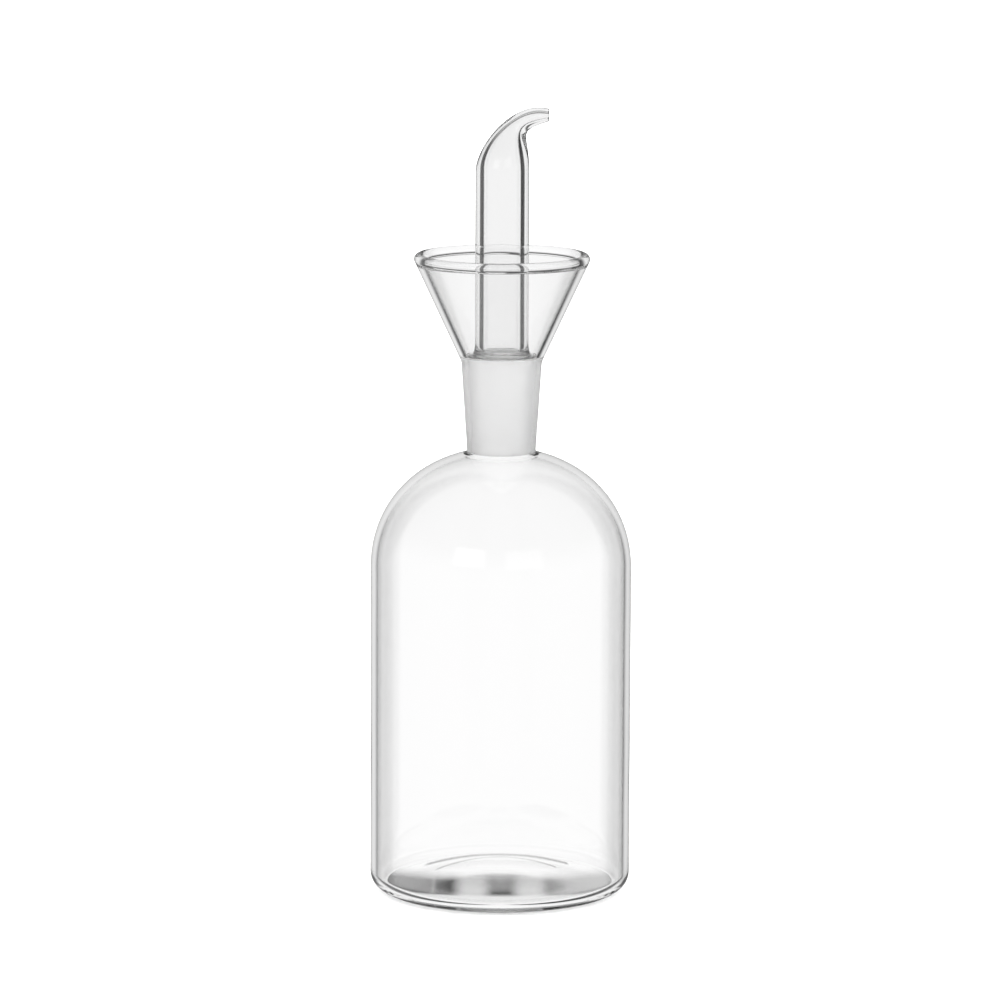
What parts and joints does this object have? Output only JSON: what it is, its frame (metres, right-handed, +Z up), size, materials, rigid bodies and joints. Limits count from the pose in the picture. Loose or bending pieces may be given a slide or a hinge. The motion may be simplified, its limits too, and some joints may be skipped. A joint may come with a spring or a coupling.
{
  "type": "oil cruet",
  "caption": "Clear glass oil cruet: round bottle with a domed shoulder, ground neck and funnel collar, and a hollow glass pourer with a bent, narrowing spout.",
  "frame": {"origin": "middle of the bottle's foot, on the surface it stands on", "axes": "+Z up along the bottle's axis, +X the way the spout points"},
  "size_m": [0.07, 0.07, 0.2114],
  "materials": {
    "bottle_glass": "polished, with a frosted ground bore in the neck",
    "pourer_glass": "polished, with a frosted ground cone"
  },
  "bodies": {
    "root": {"bottle": "bottle_glass", "pourer": "pourer_glass"}
  },
  "joints": []
}
